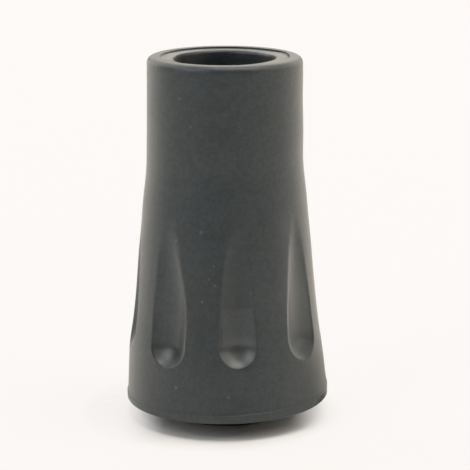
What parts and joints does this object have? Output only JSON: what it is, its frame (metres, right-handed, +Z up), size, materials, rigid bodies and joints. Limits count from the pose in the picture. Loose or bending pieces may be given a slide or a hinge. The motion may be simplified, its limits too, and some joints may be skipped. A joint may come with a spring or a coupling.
{
  "type": "rubber cane tip",
  "caption": "Moulded rubber tip for the end of a cane or pole: a straight collar over a fluted skirt that widens to a thin band, with a blind socket and a grooved sole.",
  "frame": {"origin": "middle of the sole, on the ground, which is the bottom centre of the bounding box", "axes": "+Z up the shaft, along the axis of the collar and the socket; -Y through the middle of one flute, so +X too, as the flutes stand at every 45 degrees"},
  "size_m": [0.028, 0.028, 0.05],
  "materials": {
    "rubber": "matte dark grey moulded rubber, finely speckled, with a faint dusty sheen at grazing angles"
  },
  "bodies": {
    "root": {"rubber_tip": "rubber"}
  },
  "joints": []
}
